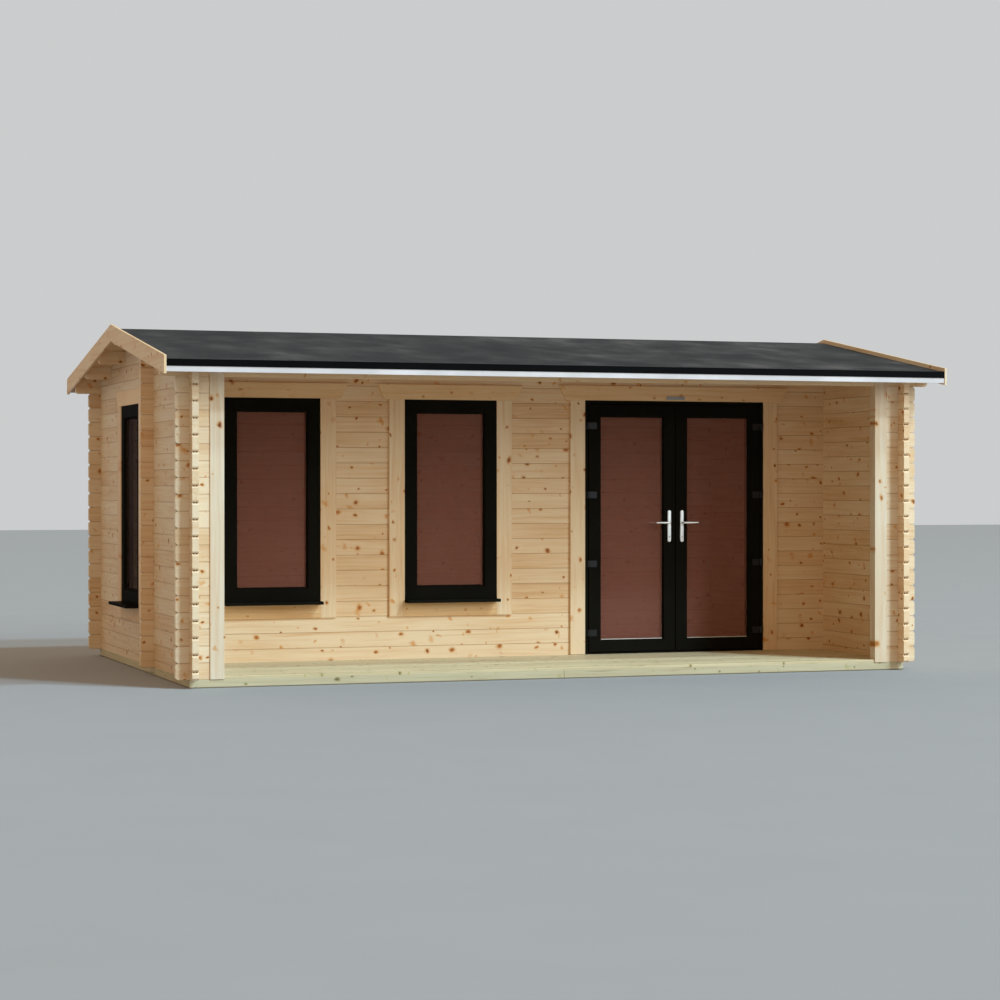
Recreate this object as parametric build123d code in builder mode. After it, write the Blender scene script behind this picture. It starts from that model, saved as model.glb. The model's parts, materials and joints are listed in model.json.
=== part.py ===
from build123d import *
import os
from math import atan, ceil, degrees, radians, tan

os.makedirs("parts", exist_ok=True)

# Log walls: +X runs along the front, +Y to the rear, +Z up, with the origin on the ground under the ridge
wall_width = 5355.0       # between the centre planes of the two gable walls
wall_depth = 3429.0       # between the centre planes of the front wings and the rear wall
porch_depth = 1239.0      # from the wings back to the recessed front wall
log_height = 114.0
log_thick = 45.0
log_overhang = 95.0       # log end past the face of the wall that it crosses
log_end_chamfer = 15.0    # on the upper and lower corners of each free end
wing_length = 216.5       # wing, from the gable's centre plane to its post's inner edge
post_width = 98.5
post_thick = 80.0
post_proud = 8.0          # post in front of the wing's face
post_groove = 20.0        # depth of the groove that takes the ends of the wing's logs

# Base, porch deck and floor
bearer_height = 58.0
bearer_seam = 2.0         # joint at the middle of the front bearer
deck_thick = 28.0
floor_thick = 20.0
joist_count = 6
joist_thick = 45.0

# Roof
roof_pitch = 9.2          # degrees
roof_board_thick = 26.0   # plumb
membrane_thick = 3.0      # plumb
verge_reach = 206.0       # roof boards past the gable's face
eave_reach = 236.0        # roof boards past the eave's wall face
purlin_height = 95.0
purlin_thick = 45.0
purlin_reach = 200.0      # purlin and eave beam ends past the gable's face
outer_purlin_y = 1235.0   # from the ridge, on both slopes
inner_purlin_y = 655.0    # from the ridge, on the rear slope only: the front wall carries the other
barge_height = 125.0      # plumb
barge_thick = 18.0
barge_rise = 30.0         # barge board above the membrane
barge_tail = 2.0          # barge board past the edge trim
fascia_thick = 12.0
fascia_height = 80.0
edge_trim_thick = 4.0
edge_trim_height = 48.0
edge_trim_flange = 40.0

# Windows and doors: frames stand in their openings, a little proud of the logs
head_height = 1957.0      # of the front windows, above the bearers
window_width = 727.0
window_height = 1495.0
window_face = 90.0        # face of the frame beside the glazing bead
first_window_x = -1824.5
second_window_x = -448.5
gable_window_y = 353.5
gable_window_drop = 35.0  # the gable's window is this much lower than the front ones
frame_depth = 70.0
frame_proud = 10.0
bead_face = 15.0
bead_depth = 20.0
bead_nose = 2.0
pane_thick = 24.0
sill_thick = 23.0
sill_reach = 80.0
trim_width = 120.0
trim_thick = 18.0
head_trim_height = 113.0
head_trim_lap = 36.0      # head trim past the jamb trim, at its lower edge
head_trim_bevel = 54.0    # further reach of its upper edge
bottom_trim_height = 102.0

# Double doors
door_x = 1378.0
door_width = 1498.0
threshold_height = 22.0   # log left under the door frame
door_head_rise = 10.0     # head of the doors above the windows' head
door_frame_face = 28.0
door_sill_face = 12.0
stop_width = 20.0
stop_depth = 12.0
leaf_gap = 5.0            # round each leaf
meeting_gap = 7.0         # between the leaves
leaf_depth = 60.0
leaf_proud = 7.0          # leaf face in front of the frame's face
leaf_flange = 16.0        # depth of the leaf's front flange
leaf_setback = 6.0        # rear of the leaf, inside the flange's edge
leaf_face = 88.0          # face of the leaf's stiles beside the bead
rail_face = 81.0          # face of its rails

# Hinges
hinge_heights = (184.0, 714.0, 1242.0, 1772.0)   # above the bearers
hinge_height = 50.0
hinge_inset = 23.0        # hinge axis from the door frame's outer edge
knuckle_radius = 8.0      # to its flats
knuckle_sides = 8
knuckle_gap = 1.0         # knuckle in front of the leaf's face
knuckle_play = 0.5        # between the two halves
pin_radius = 4.0
pin_clearance = 0.3
hinge_plate_thick = 5.0
hinge_leaf_width = 60.0
hinge_leaf_inset = 2.0    # from the edge of the leaf or of the frame
hinge_web = 8.0

# Handles
handle_offset = 53.0      # from the meeting line
lever_height = 1027.0     # above the bearers
plate_height = 248.0
plate_width = 30.0
plate_thick = 8.0
plate_drop = 27.0         # plate's middle below the lever
spindle_radius = 8.0
spindle_clearance = 0.3
lever_length = 134.0
lever_width = 18.0
lever_thick = 12.0
lever_reach = 50.0        # front of the lever from the leaf's face

overrun = 10.0            # of every cut past the face that it opens

# Places worked out from the sizes above
half_width = wall_width / 2
half_depth = wall_depth / 2
half_log = log_thick / 2
face_x = half_width + half_log
face_y = half_depth + half_log
front_y = porch_depth - half_depth
notch_height = log_height / 2
eave_courses = ceil(head_height / log_height)   # full courses under the eave beams
slope = tan(radians(roof_pitch))


def level(course):
    """Height of the underside of a course of the front, rear and wing walls."""
    return bearer_height + course * log_height


eave_top = level(eave_courses + 1)
ridge_under = eave_top + half_depth * slope
membrane_lift = roof_board_thick + membrane_thick
roof_end_x = face_x + verge_reach
roof_end_y = face_y + eave_reach
fascia_end_y = roof_end_y + fascia_thick
barge_end_y = fascia_end_y + edge_trim_thick + barge_tail
purlin_end_x = face_x + purlin_reach


def roof_z(y, lift):
    """Height of a line of the roof's section, lifted from the underside of the boards."""
    return ridge_under + lift - abs(y) * slope


def save(builder, name):
    builder.part.label = name
    export_step(builder.part, f"parts/{name}.step")


def slope_section(near, far, low, high):
    """Corners of a strip of one roof slope between two places and two lifts."""
    return [
        (near, roof_z(near, low)),
        (far, roof_z(far, low)),
        (far, roof_z(far, high)),
        (near, roof_z(near, high)),
    ]


def cut_above_roof():
    """Trims the part being built to the underside of the roof boards."""
    reach = barge_end_y + overrun
    top = ridge_under + log_height
    with BuildSketch(Plane.YZ.offset(-roof_end_x - overrun)) as outline:
        Polygon(
            (0, ridge_under),
            (reach, roof_z(reach, 0)),
            (reach, top),
            (-reach, top),
            (-reach, roof_z(reach, 0)),
            align=None,
        )
    extrude(outline.sketch, amount=2 * (roof_end_x + overrun), mode=Mode.SUBTRACT)


def cut_boxes(places, size):
    with Locations(*places):
        Box(*size, mode=Mode.SUBTRACT)


# Logs
def log_end(place, chamfer, low, high):
    """Lower to upper corners of one end of a log's side view; a chamfer's sign points out of that end."""
    if not chamfer:
        return [(place, low), (place, high)]
    rise = abs(chamfer)
    return [(place - chamfer, low), (place, low + rise), (place, high - rise), (place - chamfer, high)]


def log_side(span, near, far, ends):
    """Side view of a log between two heights and two places, with a chamfer for each end."""
    return log_end(far, ends[1], *span) + log_end(near, -ends[0], *span)[::-1]


both_ends = (log_end_chamfer, log_end_chamfer)
near_end = (log_end_chamfer, 0)
far_end = (0, log_end_chamfer)
no_end = (0, 0)


def logs_along_x(y, spans, near, far, ends, thick=log_thick):
    with BuildSketch(Plane.XZ.offset(-y - thick / 2)) as outline:
        for span in spans:
            Polygon(*log_side(span, near, far, ends), align=None)
    extrude(outline.sketch, amount=thick)


def logs_along_y(x, spans, near, far, ends):
    with BuildSketch(Plane.YZ.offset(x - half_log)) as outline:
        for span in spans:
            Polygon(*log_side(span, near, far, ends), align=None)
    extrude(outline.sketch, amount=log_thick)


def notch_at_gables(y, joints):
    """Notches half the joint deep, above and below each joint, where a wall crosses the gables."""
    places = [(side * half_width, y, level(joint)) for side in (-1, 1) for joint in joints]
    cut_boxes(places, (log_thick, log_thick + overrun, notch_height))


def of_parity(courses, parity):
    return [course for course in courses if course % 2 == parity]


def course_spans(courses):
    return [(level(course), level(course + 1)) for course in courses]


parities = {"even": 0, "odd": 1}
wall_joints = range(eave_courses + 1)
log_end_x = face_x + log_overhang
log_end_y = face_y + log_overhang

# Openings in the log walls
opening_top = bearer_height + head_height
window_opening = window_height + sill_thick
window_z = opening_top - window_height / 2
opening_z = opening_top - window_opening / 2
door_height = head_height + door_head_rise - threshold_height
door_z = bearer_height + threshold_height + door_height / 2
front_face_y = front_y - half_log

# Rear wall
for name, parity in parities.items():
    with BuildPart() as rear_wall:
        courses = of_parity(range(eave_courses), parity)
        logs_along_x(half_depth, course_spans(courses), -log_end_x, log_end_x, both_ends)
        notch_at_gables(half_depth, wall_joints)
    save(rear_wall, f"rear_wall_{name}_logs")

# Recessed front wall: the course above the last crossing one fits between the gables
front_top_z = roof_z(front_y, 0)
crossing_courses = int((front_top_z - bearer_height) // log_height)
front_joints = range(crossing_courses + 1)
for name, parity in parities.items():
    with BuildPart() as front_wall:
        courses = of_parity(range(crossing_courses), parity)
        logs_along_x(front_y, course_spans(courses), -log_end_x, log_end_x, both_ends)
        notch_at_gables(front_y, front_joints)
        if crossing_courses % 2 == parity:
            inner_x = half_width - half_log
            logs_along_x(front_y, course_spans([crossing_courses]), -inner_x, inner_x, no_end)
        cut_above_roof()
        cut_boxes(
            [(x, front_y, opening_z) for x in (first_window_x, second_window_x)],
            (window_width, log_thick + overrun, window_opening),
        )
        cut_boxes([(door_x, front_y, door_z)], (door_width, log_thick + overrun, door_height))
    save(front_wall, f"front_wall_{name}_logs")

# Wings that end the gables at the front, each let into a post
wing_end_x = half_width - wing_length
post_outer_x = wing_end_x + post_width
groove_x = post_outer_x - post_groove
for name, parity in parities.items():
    with BuildPart() as wings:
        spans = course_spans(of_parity(range(eave_courses), parity))
        logs_along_x(-half_depth, spans, -log_end_x, -groove_x, near_end)
        logs_along_x(-half_depth, spans, groove_x, log_end_x, far_end)
        notch_at_gables(-half_depth, wall_joints)
    save(wings, f"wing_{name}_logs")

with BuildPart() as wing_posts:
    post_front_y = -face_y - post_proud
    post_top = roof_z(post_front_y + post_thick, 0)
    for side in (-1, 1):
        with Locations((side * (wing_end_x + post_width / 2), post_front_y, bearer_height)):
            Box(
                post_width,
                post_thick,
                post_top - bearer_height,
                align=(Align.CENTER, Align.MIN, Align.MIN),
            )
        with Locations((side * (post_outer_x - post_groove / 2), -half_depth, bearer_height)):
            Box(
                post_groove,
                log_thick,
                level(eave_courses) - bearer_height,
                align=(Align.CENTER, Align.CENTER, Align.MIN),
                mode=Mode.SUBTRACT,
            )
        with Locations((side * (wing_end_x + post_width / 2), -half_depth, level(eave_courses))):
            Box(
                post_width,
                log_thick,
                log_height + overrun,
                align=(Align.CENTER, Align.CENTER, Align.MIN),
                mode=Mode.SUBTRACT,
            )
    cut_above_roof()
save(wing_posts, "wing_posts")

# Eave beams on the wings and on the rear wall: the roof cuts off their upper chamfers
beam_span = (level(eave_courses), eave_top + half_log * slope + log_end_chamfer)
with BuildPart() as eave_beams:
    for side in (-1, 1):
        logs_along_x(side * half_depth, [beam_span], -purlin_end_x, purlin_end_x, both_ends)
        notch_at_gables(side * half_depth, [eave_courses])
    cut_above_roof()
save(eave_beams, "eave_beams")

# Roof purlins
purlin_places = (-outer_purlin_y, 0, inner_purlin_y, outer_purlin_y)
with BuildPart() as roof_purlins:
    for y in purlin_places:
        purlin_top = roof_z(y, 0) + purlin_thick / 2 * slope + log_end_chamfer
        span = (roof_z(y, -purlin_height), purlin_top)
        logs_along_x(y, [span], -purlin_end_x, purlin_end_x, both_ends, purlin_thick)
    cut_above_roof()
save(roof_purlins, "roof_purlins")


# Gable walls: a half log at the foot sets their joints half a course off the other walls
def gable_level(course):
    return level(course) + log_height / 2


def gable_spans(courses):
    return [(gable_level(course), gable_level(course + 1)) for course in courses]


gable_courses = int((ridge_under - gable_level(0)) // log_height) + 1
crossings = (
    (-half_depth, eave_courses + 1),
    (front_y, crossing_courses),
    (half_depth, eave_courses + 1),
)


def gable_logs(side, parity):
    x = side * half_width
    long_courses = of_parity(range(eave_courses), parity)
    short_courses = of_parity(range(eave_courses, gable_courses), parity)
    logs_along_y(x, gable_spans(long_courses), -log_end_y, log_end_y, both_ends)
    beam_y = half_depth - half_log
    logs_along_y(x, gable_spans(short_courses), -beam_y, beam_y, no_end)
    if parity:
        logs_along_y(x, [(bearer_height, gable_level(0))], -log_end_y, log_end_y, both_ends)
    notches = [(x, y, gable_level(joint)) for y, courses in crossings for joint in range(courses)]
    cut_boxes(notches, (log_thick + overrun, log_thick, notch_height))
    for y in purlin_places:
        with Locations((x, y, roof_z(y, -purlin_height))):
            Box(
                log_thick + overrun,
                purlin_thick,
                purlin_height + overrun,
                align=(Align.CENTER, Align.CENTER, Align.MIN),
                mode=Mode.SUBTRACT,
            )
    cut_above_roof()


for name, parity in parities.items():
    with BuildPart() as left_gable:
        gable_logs(-1, parity)
        cut_boxes(
            [(-half_width, gable_window_y, opening_z - gable_window_drop)],
            (log_thick + overrun, window_width, window_opening),
        )
    save(left_gable, f"left_gable_{name}_logs")
    with BuildPart() as right_gable:
        gable_logs(1, parity)
    save(right_gable, f"right_gable_{name}_logs")

# Base of treated timber
inner_face_x = half_width - half_log
with BuildPart() as side_bearers:
    with Locations((-half_width, 0), (half_width, 0)):
        Box(log_thick, 2 * face_y, bearer_height, align=(Align.CENTER, Align.CENTER, Align.MIN))
save(side_bearers, "side_bearers")

with BuildPart() as cross_bearers:
    with Locations((0, front_y), (0, half_depth)):
        Box(2 * inner_face_x, log_thick, bearer_height, align=(Align.CENTER, Align.CENTER, Align.MIN))
    half_bearer = inner_face_x - bearer_seam / 2
    for side in (-1, 1):
        with Locations((side * (inner_face_x - half_bearer / 2), -half_depth)):
            Box(half_bearer, log_thick, bearer_height, align=(Align.CENTER, Align.CENTER, Align.MIN))
save(cross_bearers, "cross_bearers")

porch_front_y = -half_depth + half_log
room_front_y = front_y + half_log
room_rear_y = half_depth - half_log
joist_spacing = 2 * inner_face_x / joist_count
with BuildPart() as floor_joists:
    with Locations((0, (porch_front_y + front_face_y) / 2)):
        with GridLocations(joist_spacing, 0, joist_count, 1):
            Box(
                joist_thick,
                front_face_y - porch_front_y,
                bearer_height - deck_thick,
                align=(Align.CENTER, Align.CENTER, Align.MIN),
            )
    with Locations((0, (room_front_y + room_rear_y) / 2)):
        with GridLocations(joist_spacing, 0, joist_count, 1):
            Box(
                joist_thick,
                room_rear_y - room_front_y,
                bearer_height,
                align=(Align.CENTER, Align.CENTER, Align.MIN),
            )
save(floor_joists, "floor_joists")

with BuildPart() as porch_deck:
    with Locations((0, (porch_front_y + front_face_y) / 2, bearer_height)):
        Box(
            2 * inner_face_x,
            front_face_y - porch_front_y,
            deck_thick,
            align=(Align.CENTER, Align.CENTER, Align.MAX),
        )
save(porch_deck, "porch_deck")

with BuildPart() as room_floor:
    with Locations((0, (room_front_y + room_rear_y) / 2, bearer_height)):
        Box(
            2 * inner_face_x,
            room_rear_y - room_front_y,
            floor_thick,
            align=(Align.CENTER, Align.CENTER, Align.MIN),
        )
save(room_floor, "room_floor")

# Roof covering
slopes = {"front": -1, "rear": 1}
for name, side in slopes.items():
    with BuildPart() as roof_boards:
        with BuildSketch(Plane.YZ.offset(-roof_end_x)):
            Polygon(*slope_section(0, side * roof_end_y, 0, roof_board_thick), align=None)
        extrude(amount=2 * roof_end_x)
    save(roof_boards, f"{name}_roof_boards")

with BuildPart() as roof_membrane:
    with BuildSketch(Plane.YZ.offset(-roof_end_x)):
        for side in (-1, 1):
            Polygon(*slope_section(0, side * fascia_end_y, roof_board_thick, membrane_lift), align=None)
    extrude(amount=2 * roof_end_x)
save(roof_membrane, "roof_membrane")

with BuildPart() as eave_fascias:
    with BuildSketch(Plane.YZ.offset(-roof_end_x)):
        for side in (-1, 1):
            Polygon(
                (side * roof_end_y, roof_z(roof_end_y, roof_board_thick)),
                (side * fascia_end_y, roof_z(fascia_end_y, roof_board_thick)),
                (side * fascia_end_y, roof_z(roof_end_y, roof_board_thick) - fascia_height),
                (side * roof_end_y, roof_z(roof_end_y, roof_board_thick) - fascia_height),
                align=None,
            )
    extrude(amount=2 * roof_end_x)
save(eave_fascias, "eave_fascias")

with BuildPart() as eave_edge_trims:
    trim_outer_y = fascia_end_y + edge_trim_thick
    flange_y = fascia_end_y - edge_trim_flange
    flange_lift = membrane_lift + edge_trim_thick
    trim_foot = roof_z(fascia_end_y, flange_lift) - edge_trim_height
    with BuildSketch(Plane.YZ.offset(-roof_end_x)):
        for side in (-1, 1):
            Polygon(
                (side * flange_y, roof_z(flange_y, membrane_lift)),
                (side * fascia_end_y, roof_z(fascia_end_y, membrane_lift)),
                (side * fascia_end_y, trim_foot),
                (side * trim_outer_y, trim_foot),
                (side * trim_outer_y, roof_z(trim_outer_y, flange_lift)),
                (side * flange_y, roof_z(flange_y, flange_lift)),
                align=None,
            )
    extrude(amount=2 * roof_end_x)
save(eave_edge_trims, "eave_edge_trims")

for end, direction in {"left": -1, "right": 1}.items():
    for name, side in slopes.items():
        with BuildPart() as barge_board:
            barge_top = membrane_lift + barge_rise
            with BuildSketch(Plane.YZ.offset(direction * roof_end_x)):
                Polygon(
                    *slope_section(0, side * barge_end_y, barge_top - barge_height, barge_top),
                    align=None,
                )
            extrude(amount=direction * barge_thick)
        save(barge_board, f"{end}_{name}_barge_board")


# Planes on the outer faces of the window and door frames, facing out
def front_plane(x, z):
    return Plane(origin=(x, front_face_y - frame_proud, z), x_dir=(1, 0, 0), z_dir=(0, -1, 0))


gable_plane = Plane(
    origin=(-face_x - frame_proud, gable_window_y, window_z - gable_window_drop),
    x_dir=(0, -1, 0),
    z_dir=(-1, 0, 0),
)
window_planes = [front_plane(first_window_x, window_z), front_plane(second_window_x, window_z), gable_plane]
door_plane = front_plane(door_x, door_z)
bead_taper = degrees(atan((bead_face - bead_nose) / bead_depth))


def block(plane, centre, size, start, depth):
    """Rectangle on a plane, from start outside the plane inwards by depth."""
    with BuildSketch(plane.offset(start)) as outline:
        with Locations(centre):
            Rectangle(*size)
    return extrude(outline.sketch, amount=-depth)


def cut_block(plane, centre, size, start, depth):
    with BuildSketch(plane.offset(start)) as outline:
        with Locations(centre):
            Rectangle(*size)
    extrude(outline.sketch, amount=-depth, mode=Mode.SUBTRACT)


def inset(size, margin):
    return (size[0] - 2 * margin, size[1] - 2 * margin)


def cut_glazing(plane, centre, rebate, start, depth):
    """Rebate for bead and pane, open to the outside, and the clear opening behind its inner lip."""
    cut_block(plane, centre, rebate, start, bead_depth + pane_thick)
    cut_block(plane, centre, inset(rebate, bead_face), start, depth)


def bead(plane, centre, rebate, start):
    """Bevelled glazing bead that fills the front of a rebate."""
    block(plane, centre, rebate, start, bead_depth)
    with BuildSketch(plane.offset(start)) as outline:
        with Locations(centre):
            Rectangle(*inset(rebate, bead_nose))
    extrude(outline.sketch, amount=-bead_depth, taper=bead_taper, mode=Mode.SUBTRACT)


window_size = (window_width, window_height)
window_rebate = inset(window_size, window_face)
middle = (0, 0)

with BuildPart() as window_frames:
    for plane in window_planes:
        block(plane, middle, window_size, 0, frame_depth)
        cut_glazing(plane, middle, window_rebate, 0, frame_depth)
save(window_frames, "window_frames")

with BuildPart() as window_beads:
    for plane in window_planes:
        bead(plane, middle, window_rebate, 0)
save(window_beads, "window_beads")

with BuildPart() as window_panes:
    for plane in window_planes:
        block(plane, middle, window_rebate, -bead_depth, pane_thick)
save(window_panes, "window_panes")

with BuildPart() as window_sills:
    sill_start = sill_reach - frame_proud
    for plane in window_planes:
        block(
            plane,
            (0, -(window_height + sill_thick) / 2),
            (window_width, sill_thick),
            sill_start,
            sill_reach + log_thick,
        )
save(window_sills, "window_sills")

# Trim boards on the logs round each opening
trim_start = trim_thick - frame_proud
jamb_drop = sill_thick + bottom_trim_height
with BuildPart() as jamb_trims:
    for side in (-1, 1):
        for plane in window_planes:
            block(
                plane,
                (side * (window_width + trim_width) / 2, -jamb_drop / 2),
                (trim_width, window_height + jamb_drop),
                trim_start,
                trim_thick,
            )
        block(
            door_plane,
            (side * (door_width + trim_width) / 2, 0),
            (trim_width, door_height),
            trim_start,
            trim_thick,
        )
save(jamb_trims, "jamb_trims")

with BuildPart() as head_trims:
    for plane, width, height in [(plane, *window_size) for plane in window_planes] + [
        (door_plane, door_width, door_height)
    ]:
        low_end = width / 2 + trim_width + head_trim_lap
        high_end = low_end + head_trim_bevel
        top = height / 2
        with BuildSketch(plane.offset(trim_start)):
            Polygon(
                (-low_end, top),
                (low_end, top),
                (high_end, top + head_trim_height),
                (-high_end, top + head_trim_height),
                align=None,
            )
        extrude(amount=-trim_thick)
save(head_trims, "head_trims")

with BuildPart() as bottom_trims:
    for plane in window_planes:
        block(
            plane,
            (0, -window_height / 2 - sill_thick - bottom_trim_height / 2),
            (window_width, bottom_trim_height),
            trim_start,
            trim_thick,
        )
save(bottom_trims, "bottom_trims")

# Door frame with a stop lip behind the leaves
door_size = (door_width, door_height)
face_lift = (door_sill_face - door_frame_face) / 2
door_opening = (door_width - 2 * door_frame_face, door_height - door_frame_face - door_sill_face)
with BuildPart() as door_frame:
    block(door_plane, middle, door_size, 0, frame_depth)
    cut_block(door_plane, (0, face_lift), door_opening, 0, frame_depth - stop_depth)
    cut_block(door_plane, (0, face_lift), inset(door_opening, stop_width), 0, frame_depth)
save(door_frame, "door_frame")

# Door leaves, hung on flag hinges outside and opening outwards
leaf_width = (door_opening[0] - 2 * leaf_gap - meeting_gap) / 2
leaf_size = (leaf_width, door_opening[1] - 2 * leaf_gap)
leaf_rebate = (leaf_size[0] - 2 * leaf_face, leaf_size[1] - 2 * rail_face)
lever_z = bearer_height + lever_height - door_z
hinge_levels = [bearer_height + height - door_z for height in hinge_heights]
hinge_x = door_width / 2 - hinge_inset
leaf_edge_x = meeting_gap / 2 + leaf_width
knuckle_out = leaf_proud + knuckle_gap + knuckle_radius
knuckle_length = hinge_height / 2


def upright(plane, x, out, z):
    """Level plane at a point given along a frame, out from its face and up it."""
    return Plane(origin=plane.from_local_coords((x, z, out)), x_dir=(1, 0, 0), z_dir=(0, 0, 1))


def rod(plane, x, out, z, radius, length):
    with BuildSketch(upright(plane, x, out, z)) as outline:
        Circle(radius)
    extrude(outline.sketch, amount=length)


def flats(radius, mode=Mode.ADD):
    """Eight-sided outline with flats at a radius, which face along the plane's axes."""
    RegularPolygon(radius, knuckle_sides, major_radius=False, rotation=180 / knuckle_sides, mode=mode)


def barrel(plane, x, out, z, radius, length, mode=Mode.ADD):
    with BuildSketch(upright(plane, x, out, z)) as outline:
        flats(radius)
    extrude(outline.sketch, amount=length, mode=mode)


with BuildPart() as hinge_frame_halves:
    for side in (-1, 1):
        for z in hinge_levels:
            axis_x = side * hinge_x
            plate_outer = door_width / 2 - hinge_leaf_inset
            plate_inner = hinge_x - hinge_leaf_inset
            block(
                door_plane,
                (side * (plate_outer + plate_inner) / 2, z),
                (plate_outer - plate_inner, hinge_height),
                hinge_plate_thick,
                hinge_plate_thick,
            )
            block(
                door_plane,
                (axis_x + side * hinge_web / 2, z - knuckle_length / 2),
                (hinge_web, knuckle_length),
                knuckle_out,
                knuckle_out,
            )
            barrel(door_plane, axis_x, knuckle_out, z - knuckle_length, knuckle_radius, knuckle_length)
            rod(door_plane, axis_x, knuckle_out, z, pin_radius, knuckle_length)
save(hinge_frame_halves, "hinge_frame_halves")

for name, side in {"left": -1, "right": 1}.items():
    leaf_centre = (side * (meeting_gap + leaf_width) / 2, face_lift)
    lever_place = (side * handle_offset, lever_z)

    with BuildPart() as sash:
        block(door_plane, leaf_centre, leaf_size, leaf_proud, leaf_flange)
        block(
            door_plane,
            leaf_centre,
            inset(leaf_size, leaf_setback),
            leaf_proud - leaf_flange,
            leaf_depth - leaf_flange,
        )
        cut_glazing(door_plane, leaf_centre, leaf_rebate, leaf_proud, leaf_depth)
        with BuildSketch(door_plane.offset(leaf_proud)):
            with Locations(lever_place):
                flats(spindle_radius + spindle_clearance)
        extrude(amount=-leaf_depth, mode=Mode.SUBTRACT)
    save(sash, f"{name}_door_sash")

    with BuildPart() as leaf_bead:
        bead(door_plane, leaf_centre, leaf_rebate, leaf_proud)
    save(leaf_bead, f"{name}_door_bead")

    with BuildPart() as leaf_pane:
        block(door_plane, leaf_centre, leaf_rebate, leaf_proud - bead_depth, pane_thick)
    save(leaf_pane, f"{name}_door_pane")

    with BuildPart() as hinge_leaves:
        plate_outer = leaf_edge_x - hinge_leaf_inset
        plate_out = leaf_proud + hinge_plate_thick
        axis_x = side * hinge_x
        for z in hinge_levels:
            block(
                door_plane,
                (side * (plate_outer - hinge_leaf_width / 2), z),
                (hinge_leaf_width, hinge_height),
                plate_out,
                hinge_plate_thick,
            )
            web_width = hinge_x - plate_outer
            block(
                door_plane,
                (side * (plate_outer + web_width / 2), z + (knuckle_length + knuckle_play) / 2),
                (web_width, knuckle_length - knuckle_play),
                plate_out,
                hinge_plate_thick - knuckle_gap,
            )
            sleeve_z = z + knuckle_play
            sleeve_length = knuckle_length - knuckle_play
            barrel(door_plane, axis_x, knuckle_out, sleeve_z, knuckle_radius, sleeve_length)
            bore_radius = pin_radius + pin_clearance
            barrel(door_plane, axis_x, knuckle_out, sleeve_z, bore_radius, sleeve_length, Mode.SUBTRACT)
    save(hinge_leaves, f"{name}_door_hinge_leaves")

    with BuildPart() as handle_plates:
        for start in (leaf_proud + plate_thick, leaf_proud - leaf_depth):
            with BuildSketch(door_plane.offset(start)):
                with Locations((lever_place[0], lever_z - plate_drop)):
                    SlotOverall(plate_height, plate_width, rotation=90)
                with Locations(lever_place):
                    flats(spindle_radius + spindle_clearance, Mode.SUBTRACT)
            extrude(amount=-plate_thick)
    save(handle_plates, f"{name}_door_handle_plates")

    with BuildPart() as lever:
        outside = leaf_proud + lever_reach
        inside = leaf_proud - leaf_depth - lever_reach
        bar_centre = (lever_place[0] + side * (lever_length - lever_width) / 2, lever_z)
        for start in (outside, inside + lever_thick):
            with BuildSketch(door_plane.offset(start)):
                with Locations(bar_centre):
                    Rectangle(lever_length, lever_width)
            extrude(amount=-lever_thick)
        with BuildSketch(door_plane.offset(outside)):
            with Locations(lever_place):
                Circle(spindle_radius)
        extrude(amount=inside - outside)
    save(lever, f"{name}_lever")
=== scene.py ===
import json
import math

import bmesh
import bpy
from mathutils import Euler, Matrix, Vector


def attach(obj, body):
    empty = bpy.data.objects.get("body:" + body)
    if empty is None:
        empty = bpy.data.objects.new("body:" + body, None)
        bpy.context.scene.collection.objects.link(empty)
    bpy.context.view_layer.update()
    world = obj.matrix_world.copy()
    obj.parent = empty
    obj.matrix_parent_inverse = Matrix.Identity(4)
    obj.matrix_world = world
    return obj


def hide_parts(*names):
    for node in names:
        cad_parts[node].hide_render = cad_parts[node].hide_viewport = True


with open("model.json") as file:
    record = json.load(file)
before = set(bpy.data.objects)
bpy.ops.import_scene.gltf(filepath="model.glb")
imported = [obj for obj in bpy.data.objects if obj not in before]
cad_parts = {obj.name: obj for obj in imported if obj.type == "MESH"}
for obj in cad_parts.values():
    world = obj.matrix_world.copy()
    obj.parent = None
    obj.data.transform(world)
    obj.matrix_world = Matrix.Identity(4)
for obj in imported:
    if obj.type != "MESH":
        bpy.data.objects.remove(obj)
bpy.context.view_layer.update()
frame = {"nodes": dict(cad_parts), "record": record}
nodes = frame["nodes"]
record = frame["record"]
body_of = {node: body for body, names in record["behaviour"]["bodies"].items() for node in names}

# Sizes that the looks repeat from the part, in metres
COURSE = 0.114
LOG_FOOT = 0.058
WING_Y = -1.7145
FRONT_Y = -0.4755
REAR_Y = 1.7145
GABLE_X = 2.6775
SHEET_EDGE_Y = 1.985
POST_INNER_X = 2.461
POST_OUTER_X = 2.5595
POST_REAR_Y = -1.665
WING_REAR_Y = -1.692
WING_FRONT_Y = -1.737
WALL_FACE_Y = -0.498
ROOM_FACE_Y = -0.453
INNER_X = 2.655
BEAD_FACE = 0.015

# Places past which a sill's nose starts, and between which the gable's pane is painted darker, as shade
GABLE_SILL_X = -2.77
FRONT_SILL_Y = -0.56
GABLE_PANE_X = (-2.66, -2.60)

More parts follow.
